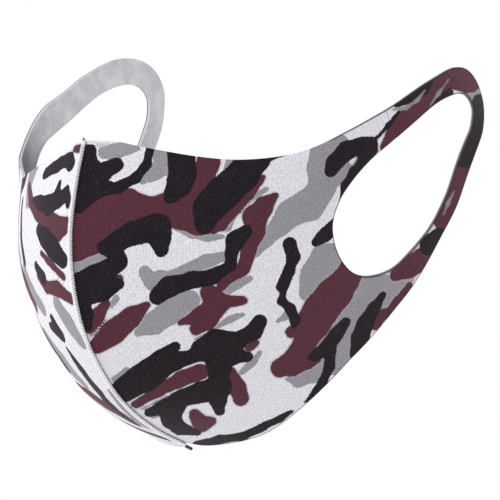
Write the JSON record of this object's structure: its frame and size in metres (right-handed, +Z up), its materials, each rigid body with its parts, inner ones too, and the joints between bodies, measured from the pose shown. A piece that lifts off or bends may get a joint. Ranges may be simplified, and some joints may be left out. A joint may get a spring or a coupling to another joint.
{
  "type": "cloth face mask",
  "caption": "Reusable stretch-knit face mask in camouflage print: two moulded cloth sides joined by a curved centre seam, each side with an ear loop cut in one.",
  "frame": {"origin": "the nose-bridge end of the centre seam, in the middle plane", "axes": "+Z up as worn, the wearer looks along -Y so the loops reach towards +Y, +X towards the wearer's left ear"},
  "size_m": [0.1613, 0.1702, 0.1592],
  "materials": {
    "printed_knit": "matt fine-rib knit printed with off-white, grey, burgundy and near-black camouflage",
    "foam": "thin open-cell foam, white cut edge",
    "lining_knit": "plain light grey fine knit, softly mottled",
    "seam_thread": "textured overlock thread",
    "needle_thread": "dark twisted polyester thread"
  },
  "bodies": {
    "left_half": {"left_outer_shell": "printed_knit", "left_foam_core": "foam", "left_lining": "lining_knit", "upper_looper_thread": "seam_thread", "needle_thread": "needle_thread"},
    "right_half": {"right_outer_shell": "printed_knit", "right_foam_core": "foam", "right_lining": "lining_knit", "lower_looper_thread": "seam_thread"},
    "left_loop": {"left_loop_outer": "printed_knit", "left_loop_foam": "foam", "left_loop_lining": "lining_knit"},
    "right_loop": {"right_loop_outer": "printed_knit", "right_loop_foam": "foam", "right_loop_lining": "lining_knit"}
  },
  "joints": [
    {"name": "seam_fold", "type": "hinge", "parent": "left_half", "child": "right_half", "pos_m": [0, 0.0364, -0.054], "axis": [0, 0.5077, -0.8615], "range_deg": [0, 20], "stiffness_Nm_per_rad": 0.15},
    {"name": "left_loop_swing", "type": "hinge", "parent": "left_half", "child": "left_loop", "pos_m": [0.07527, 0.10185, -0.0184], "axis": [-0.0758, 0.3855, -0.9196], "range_deg": [-25, 50], "stiffness_Nm_per_rad": 0.02},
    {"name": "right_loop_swing", "type": "hinge", "parent": "right_half", "child": "right_loop", "pos_m": [-0.0762, 0.10186, -0.01315], "axis": [-0.0922, -0.3293, 0.9397], "range_deg": [-25, 50], "stiffness_Nm_per_rad": 0.02}
  ]
}
